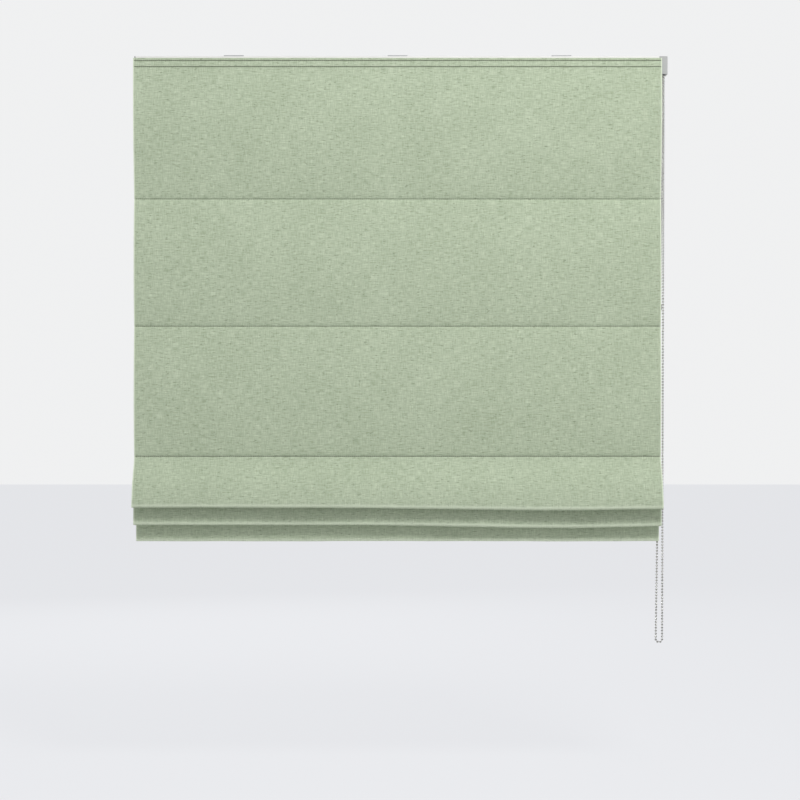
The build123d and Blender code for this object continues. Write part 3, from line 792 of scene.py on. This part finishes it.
def rod_pocket(number):
    """A tube of cloth round a rod, a little slack between its gathers."""
    low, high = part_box(f"rod_pocket_{number}")
    middle_y, middle_z, radius = (low.y + high.y) / 2, (low.z + high.z) / 2, (high.y - low.y) / 2
    columns, around = 220, 20
    corners, faces, maps = [], [], []
    for inner in (0, 1):
        for c in range(columns + 1):
            x = low.x + (high.x - low.x) * c / columns
            for k in range(around):
                turn = 2 * pi * k / around
                slack = 0.00012 * sin(x * 190 + number + 2 * turn) + 0.00008 * sin(x * 77 - turn)
                reach = radius - pocket_cloth * inner - pocket_ease + slack
                corners.append((x, middle_y + reach * cos(turn), middle_z + reach * sin(turn)))
                maps.append((x, turn * radius))
    layer = (columns + 1) * around
    for c in range(columns):
        for k in range(around):
            a, b = c * around + k, c * around + (k + 1) % around
            faces.append((a, a + around, b + around, b)[::-1])
            faces.append((a + layer, a + around + layer, b + around + layer, b + layer))
    for k in range(around):
        for c in (0, columns):
            a, b = c * around + k, c * around + (k + 1) % around
            side = (a, b, b + layer, a + layer)
            faces.append(side[::-1] if c == 0 else side)
    mesh = bpy.data.meshes.new(f"pocket_tape_{number}")
    mesh.from_pydata(corners, [], faces)
    cloth_map = mesh.uv_layers.new(name="cloth_map")
    for loop in mesh.loops:
        cloth_map.data[loop.index].uv = maps[loop.vertex_index]
    mesh.polygons.foreach_set("use_smooth", [True] * len(mesh.polygons))
    mesh.materials.append(lining_white)
    piece = bpy.data.objects.new(f"pocket_tape_{number}", mesh)
    scene.collection.objects.link(piece)
    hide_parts(f"rod_pocket_{number}")
    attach(piece, f"rod_{number}_group")


for number in range(1, 6):
    rod_pocket(number)

# ------------------------------------------------------------------ weight bar
# A flat steel bar, white lacquered, that slides into the hem's pocket and keeps it straight.
lacquer = grained_finish("bar_steel", (0.68, 0.68, 0.66), (0.76, 0.76, 0.74), 0.4, 0.0, 1100.0, 0.1)
dress(["bottom_bar"], lacquer)

# ------------------------------------------------------------------ lift cords
# Three braided polyester cords, 1 mm thick, run from the spools down the back through every ring.
# They shorten and lengthen with the blind, so each stretch between two rods is a piece of its own.
braid, braid_shader = new_finish("lift_cord", 0.7)
braid_tree = braid.node_tree
braid_map = braid_tree.nodes.new("ShaderNodeTexCoord")
braid_wave = braid_tree.nodes.new("ShaderNodeTexWave")
braid_wave.wave_type = "BANDS"
braid_wave.bands_direction = "DIAGONAL"
braid_wave.inputs["Scale"].default_value = 420.0
braid_tree.links.new(braid_map.outputs["Object"], braid_wave.inputs["Vector"])
braid_tone = mix_colour(braid_tree, braid_wave.outputs["Fac"], (0.62, 0.61, 0.56), (0.82, 0.81, 0.77))
braid_tree.links.new(braid_tone, braid_shader.inputs["Base Color"])
bump(braid_tree, braid_shader, braid_wave.outputs["Fac"], 0.5, 0.0002)
dress(["wound_cords"], braid)
cord_boxes = {side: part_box(f"lift_cord_{side}") for side in ("left", "centre", "right")}
cord_radius = (cord_boxes["left"][1].x - cord_boxes["left"][0].x) / 2
cord_ends = [cord_boxes["left"][1].z, *rod_level[:4], cord_boxes["left"][0].z]
cord_bodies = ["headrail"] + [f"rod_{k}_group" for k in range(1, 6)]
cord_step, cord_sides = 0.006, 8
for number in range(5):
    top, bottom = cord_ends[number], cord_ends[number + 1]
    steps = max(4, round((top - bottom) / cord_step))
    corners, faces = [], []
    for side, (low, high) in cord_boxes.items():
        middle = (low + high) / 2
        first = len(corners)
        for k in range(steps + 1):
            z = top + (bottom - top) * k / steps
            for a in range(cord_sides):
                turn = 2 * pi * a / cord_sides
                corners.append((middle.x + cord_radius * cos(turn), middle.y + cord_radius * sin(turn), z))
        for k in range(steps):
            above = first + cord_sides * k
            below = above + cord_sides
            for a in range(cord_sides):
                after = (a + 1) % cord_sides
                faces.append((above + a, below + a, below + after, above + after))
        faces.append(tuple(first + a for a in range(cord_sides)))
        faces.append(tuple(first + cord_sides * steps + a for a in reversed(range(cord_sides))))
    mesh = bpy.data.meshes.new(f"cord_stretch_{number + 1}")
    mesh.from_pydata(corners, [], faces)
    mesh.polygons.foreach_set("use_smooth", [True] * len(mesh.polygons))
    mesh.materials.append(braid)
    piece = bpy.data.objects.new(f"cord_stretch_{number + 1}", mesh)
    scene.collection.objects.link(piece)
    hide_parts("lift_cord_left", "lift_cord_centre", "lift_cord_right")
    if number < 3:
        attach(piece, cord_bodies[number])
        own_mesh(piece)
    else:
        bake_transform(piece)
